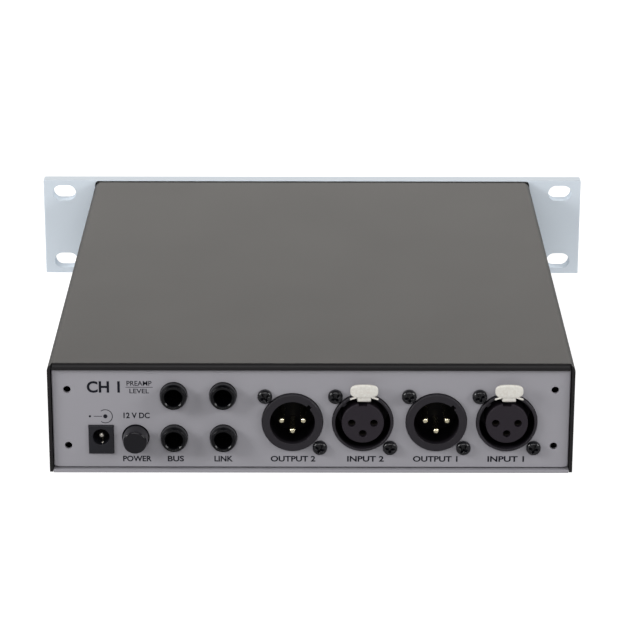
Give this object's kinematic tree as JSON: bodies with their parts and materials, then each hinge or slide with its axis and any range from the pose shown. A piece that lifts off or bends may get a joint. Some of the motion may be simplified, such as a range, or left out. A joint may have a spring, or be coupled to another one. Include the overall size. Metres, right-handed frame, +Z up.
{
  "type": "rack compressor",
  "caption": "Half-width one-unit rack preamplifier and compressor: folded steel case, slotted front panel with knobs and keys, rear panel with audio sockets.",
  "frame": {"origin": "centre of the four rack slots, on the rear face of the front panel", "axes": "+Y towards the rear connectors, +Z up; the controls face -Y"},
  "size_m": [0.2404, 0.2572, 0.0436],
  "materials": {
    "cover_paint": "fine satin powder coat, warm dark grey",
    "tray_steel": "satin mid grey",
    "rear_panel_paint": "satin mid grey with dark printed marks",
    "panel_silver": "fine silver anodised",
    "frame_black": "satin black",
    "screw_black": "black oxide",
    "connector_shell": "dark charcoal, satin",
    "connector_insert": "moulded, fine grain",
    "latch_metal": "bright nickel",
    "contact_gold": "pale gold plate",
    "jack_plastic": "black moulding",
    "spring_metal": "nickel plate",
    "inlet_plastic": "black moulding",
    "button_plastic": "dark grey moulding",
    "switch_plastic": "black moulding",
    "control_metal": "turned, bright",
    "knob_metal": "black anodised with a white line",
    "key_cap": "ivory moulding",
    "lamp_lens": "clear lens",
    "board_laminate": "green solder mask",
    "standoff_brass": "turned",
    "fixing_steel": "zinc plated",
    "ribbon_grey": "ribbed grey",
    "shield_can": "drawn shield",
    "core_steel": "stacked laminations",
    "coil_tape": "yellow tape over windings",
    "capacitor_sleeve": "printed sleeve",
    "relay_case": "pale case",
    "chip_resin": "black resin",
    "heat_sink_black": "black anodised"
  },
  "bodies": {
    "chassis": {"top_cover": "cover_paint", "bottom_tray": "tray_steel", "rear_panel": "rear_panel_paint", "front_panel": "panel_silver", "front_subframe": "frame_black", "flat_screws": "screw_black", "connector_screws": "screw_black", "comp_output_shell": "connector_shell", "line_output_shell": "connector_shell", "comp_input_shell": "connector_shell", "mic_input_shell": "connector_shell", "comp_input_insert": "connector_insert", "mic_input_insert": "connector_insert", "output_pins": "contact_gold", "input_contacts": "contact_gold", "buss_jacks": "jack_plastic", "link_jacks": "jack_plastic", "jack_leaves": "spring_metal", "power_inlet_body": "inlet_plastic", "power_inlet_pin": "spring_metal", "power_switch": "switch_plastic", "potentiometers": "control_metal", "key_switches": "switch_plastic", "status_lamps": "lamp_lens", "meter_lamps": "lamp_lens", "front_board": "board_laminate", "main_board": "board_laminate", "board_standoffs": "standoff_brass", "board_screws": "fixing_steel", "ribbon_cable": "ribbon_grey", "input_transformer": "shield_can", "output_transformer_cores": "core_steel", "output_transformer_coils": "coil_tape", "capacitors": "capacitor_sleeve", "relays": "relay_case", "amplifier_chips": "chip_resin", "heat_sink": "heat_sink_black"},
    "gain_control": {"gain_knob": "knob_metal", "gain_shaft": "control_metal"},
    "trim_control": {"trim_knob": "knob_metal", "trim_shaft": "control_metal"},
    "threshold_control": {"threshold_knob": "knob_metal", "threshold_shaft": "control_metal"},
    "ratio_control": {"ratio_knob": "knob_metal", "ratio_shaft": "control_metal"},
    "attack_control": {"attack_knob": "knob_metal", "attack_shaft": "control_metal"},
    "release_control": {"release_knob": "knob_metal", "release_shaft": "control_metal"},
    "makeup_control": {"makeup_knob": "knob_metal", "makeup_shaft": "control_metal"},
    "phantom_button": {"phantom_key": "key_cap"},
    "polarity_button": {"polarity_key": "key_cap"},
    "high_pass_button": {"high_pass_key": "key_cap"},
    "comp_in_button": {"comp_in_key": "key_cap"},
    "link_button": {"link_key": "key_cap"},
    "power_push": {"power_button": "button_plastic", "power_plunger": "switch_plastic"},
    "comp_input_release": {"comp_input_latch": "latch_metal"},
    "mic_input_release": {"mic_input_latch": "latch_metal"}
  },
  "joints": [
    {"name": "gain_turn", "type": "hinge", "parent": "chassis", "child": "gain_control", "pos_m": [-0.082, 0, -0.0055], "axis": [0, 1, 0], "range_deg": [-150, 150]},
    {"name": "trim_turn", "type": "hinge", "parent": "chassis", "child": "trim_control", "pos_m": [-0.06, 0, -0.0055], "axis": [0, 1, 0], "range_deg": [-150, 150]},
    {"name": "threshold_turn", "type": "hinge", "parent": "chassis", "child": "threshold_control", "pos_m": [-0.03, 0, -0.0055], "axis": [0, 1, 0], "range_deg": [-150, 150]},
    {"name": "ratio_turn", "type": "hinge", "parent": "chassis", "child": "ratio_control", "pos_m": [-0.008, 0, -0.0055], "axis": [0, 1, 0], "range_deg": [-150, 150]},
    {"name": "attack_turn", "type": "hinge", "parent": "chassis", "child": "attack_control", "pos_m": [0.014, 0, -0.0055], "axis": [0, 1, 0], "range_deg": [-150, 150]},
    {"name": "release_turn", "type": "hinge", "parent": "chassis", "child": "release_control", "pos_m": [0.036, 0, -0.0055], "axis": [0, 1, 0], "range_deg": [-150, 150]},
    {"name": "makeup_turn", "type": "hinge", "parent": "chassis", "child": "makeup_control", "pos_m": [0.058, 0, -0.0055], "axis": [0, 1, 0], "range_deg": [-150, 150]},
    {"name": "phantom_press", "type": "slide", "parent": "chassis", "child": "phantom_button", "axis": [0, 1, 0], "range_m": [0, 0.0015], "stiffness_N_per_m": 400, "springref_m": -0.001},
    {"name": "polarity_press", "type": "slide", "parent": "chassis", "child": "polarity_button", "axis": [0, 1, 0], "range_m": [0, 0.0015], "stiffness_N_per_m": 400, "springref_m": -0.001},
    {"name": "high_pass_press", "type": "slide", "parent": "chassis", "child": "high_pass_button", "axis": [0, 1, 0], "range_m": [0, 0.0015], "stiffness_N_per_m": 400, "springref_m": -0.001},
    {"name": "comp_in_press", "type": "slide", "parent": "chassis", "child": "comp_in_button", "axis": [0, 1, 0], "range_m": [0, 0.0015], "stiffness_N_per_m": 400, "springref_m": -0.001},
    {"name": "link_press", "type": "slide", "parent": "chassis", "child": "link_button", "axis": [0, 1, 0], "range_m": [0, 0.0015], "stiffness_N_per_m": 400, "springref_m": -0.001},
    {"name": "power_press", "type": "slide", "parent": "chassis", "child": "power_push", "axis": [0, -1, 0], "range_m": [0, 0.0025], "stiffness_N_per_m": 400, "springref_m": -0.001},
    {"name": "comp_input_latch_press", "type": "slide", "parent": "chassis", "child": "comp_input_release", "axis": [0, -1, 0], "range_m": [0, 0.0018], "stiffness_N_per_m": 500, "springref_m": -0.001},
    {"name": "mic_input_latch_press", "type": "slide", "parent": "chassis", "child": "mic_input_release", "axis": [0, -1, 0], "range_m": [0, 0.0018], "stiffness_N_per_m": 500, "springref_m": -0.001}
  ]
}
